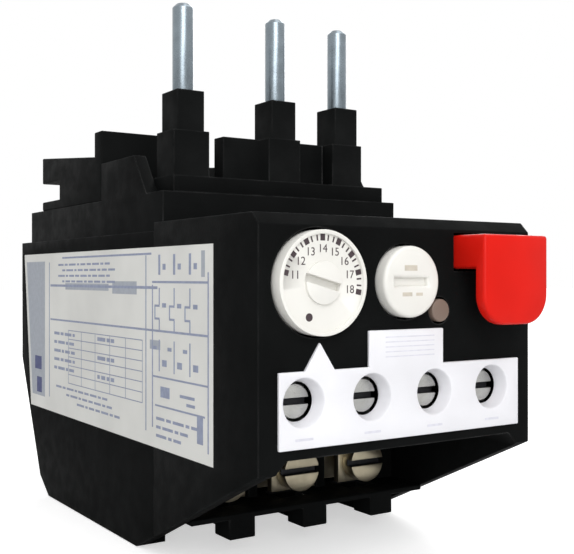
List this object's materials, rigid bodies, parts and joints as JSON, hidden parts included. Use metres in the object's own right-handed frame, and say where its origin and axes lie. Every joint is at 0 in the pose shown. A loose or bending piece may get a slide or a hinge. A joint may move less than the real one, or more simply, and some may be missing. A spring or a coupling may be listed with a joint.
{
  "type": "thermal overload relay",
  "caption": "Plug-on thermal overload relay with line pins, load and auxiliary screw terminals, current dial, reset knob, stop button and a coupled bimetal trip train.",
  "frame": {"origin": "centre of the bounding box on the plane of the underside", "axes": "front controls face -Y, line pins point +Z, +X is to the right seen from the front"},
  "size_m": [0.045, 0.0924, 0.0795],
  "materials": {
    "housing_black": "moulded, slight sheen",
    "inner_plastic": "natural moulded",
    "plate_white": "moulded, satin",
    "control_white": "moulded, satin",
    "stop_red": "moulded, semi-gloss",
    "flag_brown": "moulded",
    "label_paper": "printed film",
    "pin_plated": "nickel plated",
    "screw_zinc": "zinc plated",
    "terminal_plated": "tinned",
    "copper_strip": "bare",
    "bimetal": "rolled",
    "heater_strip": "rolled",
    "spring_steel": "drawn wire"
  },
  "bodies": {
    "housing": {"front_housing": "housing_black", "base_housing": "housing_black", "marking_plate": "plate_white", "rating_label": "label_paper", "pin_carrier": "housing_black", "contactor_hook": "housing_black", "terminal_comb": "housing_black", "control_bracket": "housing_black", "lever_pivot": "screw_zinc", "contact_pivot": "screw_zinc", "reset_spring": "spring_steel", "stop_spring": "spring_steel", "line_pin_1": "pin_plated", "line_pin_2": "pin_plated", "line_pin_3": "pin_plated", "line_lead_1": "copper_strip", "line_lead_2": "copper_strip", "line_lead_3": "copper_strip", "load_terminal_1": "terminal_plated", "load_terminal_2": "terminal_plated", "load_terminal_3": "terminal_plated", "aux_terminal_1": "terminal_plated", "aux_terminal_2": "terminal_plated", "aux_terminal_3": "terminal_plated", "aux_terminal_4": "terminal_plated"},
    "dial": {"setting_dial": "control_white", "dial_cam": "inner_plastic", "dial_clip": "spring_steel"},
    "reset_stem": {"reset_plunger": "inner_plastic"},
    "reset_head": {"reset_knob": "control_white"},
    "stop": {"stop_button": "stop_red"},
    "indicator": {"trip_indicator": "flag_brown"},
    "slider": {"trip_slider": "inner_plastic"},
    "lever": {"trip_lever": "inner_plastic"},
    "rocker": {"contact_rocker": "inner_plastic", "nc_bridge": "copper_strip", "no_bridge": "copper_strip"},
    "bimetal_1": {"bimetal_strip_1": "bimetal", "heater_winding_1": "heater_strip"},
    "load_fixing_1": {"load_screw_1": "screw_zinc", "load_clamp_1": "screw_zinc"},
    "bimetal_2": {"bimetal_strip_2": "bimetal", "heater_winding_2": "heater_strip"},
    "load_fixing_2": {"load_screw_2": "screw_zinc", "load_clamp_2": "screw_zinc"},
    "bimetal_3": {"bimetal_strip_3": "bimetal", "heater_winding_3": "heater_strip"},
    "load_fixing_3": {"load_screw_3": "screw_zinc", "load_clamp_3": "screw_zinc"},
    "aux_fixing_1": {"aux_screw_1": "screw_zinc", "aux_washer_1": "screw_zinc"},
    "aux_fixing_2": {"aux_screw_2": "screw_zinc", "aux_washer_2": "screw_zinc"},
    "aux_fixing_3": {"aux_screw_3": "screw_zinc", "aux_washer_3": "screw_zinc"},
    "aux_fixing_4": {"aux_screw_4": "screw_zinc", "aux_washer_4": "screw_zinc"}
  },
  "joints": [
    {"name": "dial_turn", "type": "hinge", "parent": "housing", "child": "dial", "pos_m": [-0.014, -0.0408, 0.0386], "axis": [0, 1, 0], "range_deg": [-135, 135]},
    {"name": "reset_push", "type": "slide", "parent": "housing", "child": "reset_stem", "axis": [0, 1, 0], "range_m": [0, 0.0025], "stiffness_N_per_m": 400, "springref_m": -0.0015, "deforming": ["reset_spring"]},
    {"name": "reset_mode_turn", "type": "hinge", "parent": "reset_stem", "child": "reset_head", "pos_m": [-0.0003, -0.0408, 0.0387], "axis": [0, 1, 0], "range_deg": [0, 90]},
    {"name": "stop_push", "type": "slide", "parent": "housing", "child": "stop", "axis": [0, 1, 0], "range_m": [0, 0.0025], "stiffness_N_per_m": 400, "springref_m": -0.0015, "deforming": ["stop_spring"]},
    {"name": "slider_travel", "type": "slide", "parent": "housing", "child": "slider", "axis": [1, 0, 0], "range_m": [0, 0.0014], "stiffness_N_per_m": 600, "springref_m": -0.0005},
    {"name": "lever_turn", "type": "hinge", "parent": "housing", "child": "lever", "pos_m": [0.0181, -0.0238, 0.028], "axis": [0, 0, -1], "range_deg": [0, 9.6]},
    {"name": "rocker_turn", "type": "hinge", "parent": "housing", "child": "rocker", "pos_m": [-0.0013, -0.0208, 0.0316], "axis": [-1, 0, 0], "range_deg": [0, 10.2]},
    {"name": "indicator_travel", "type": "slide", "parent": "housing", "child": "indicator", "axis": [0, -1, 0], "range_m": [0, 0.0016]},
    {"name": "bimetal_bend_1", "type": "hinge", "parent": "housing", "child": "bimetal_1", "pos_m": [-0.0124, -0.0018, 0.0433], "axis": [0, -1, 0], "range_deg": [0, 3.7]},
    {"name": "load_screw_travel_1", "type": "slide", "parent": "housing", "child": "load_fixing_1", "axis": [0, 1, 0], "range_m": [-0.0016, 0.0018]},
    {"name": "bimetal_bend_2", "type": "hinge", "parent": "housing", "child": "bimetal_2", "pos_m": [0, -0.0018, 0.0433], "axis": [0, -1, 0], "range_deg": [0, 3.7]},
    {"name": "load_screw_travel_2", "type": "slide", "parent": "housing", "child": "load_fixing_2", "axis": [0, 1, 0], "range_m": [-0.0016, 0.0018]},
    {"name": "bimetal_bend_3", "type": "hinge", "parent": "housing", "child": "bimetal_3", "pos_m": [0.0124, -0.0018, 0.0433], "axis": [0, -1, 0], "range_deg": [0, 3.7]},
    {"name": "load_screw_travel_3", "type": "slide", "parent": "housing", "child": "load_fixing_3", "axis": [0, 1, 0], "range_m": [-0.0016, 0.0018]},
    {"name": "aux_screw_travel_1", "type": "slide", "parent": "housing", "child": "aux_fixing_1", "axis": [0, 1, 0], "range_m": [-0.0012, 0.0007]},
    {"name": "aux_screw_travel_2", "type": "slide", "parent": "housing", "child": "aux_fixing_2", "axis": [0, 1, 0], "range_m": [-0.0012, 0.0007]},
    {"name": "aux_screw_travel_3", "type": "slide", "parent": "housing", "child": "aux_fixing_3", "axis": [0, 1, 0], "range_m": [-0.0012, 0.0007]},
    {"name": "aux_screw_travel_4", "type": "slide", "parent": "housing", "child": "aux_fixing_4", "axis": [0, 1, 0], "range_m": [-0.0012, 0.0007]}
  ],
  "couplings": [
    {"joint": "lever_turn", "follows": "slider_travel", "rad_per_m": 118},
    {"joint": "rocker_turn", "follows": "slider_travel", "rad_per_m": 124.7},
    {"joint": "indicator_travel", "follows": "slider_travel", "ratio": 1.07},
    {"joint": "bimetal_bend_1", "follows": "slider_travel", "rad_per_m": 45},
    {"joint": "bimetal_bend_2", "follows": "slider_travel", "rad_per_m": 45},
    {"joint": "bimetal_bend_3", "follows": "slider_travel", "rad_per_m": 45}
  ]
}
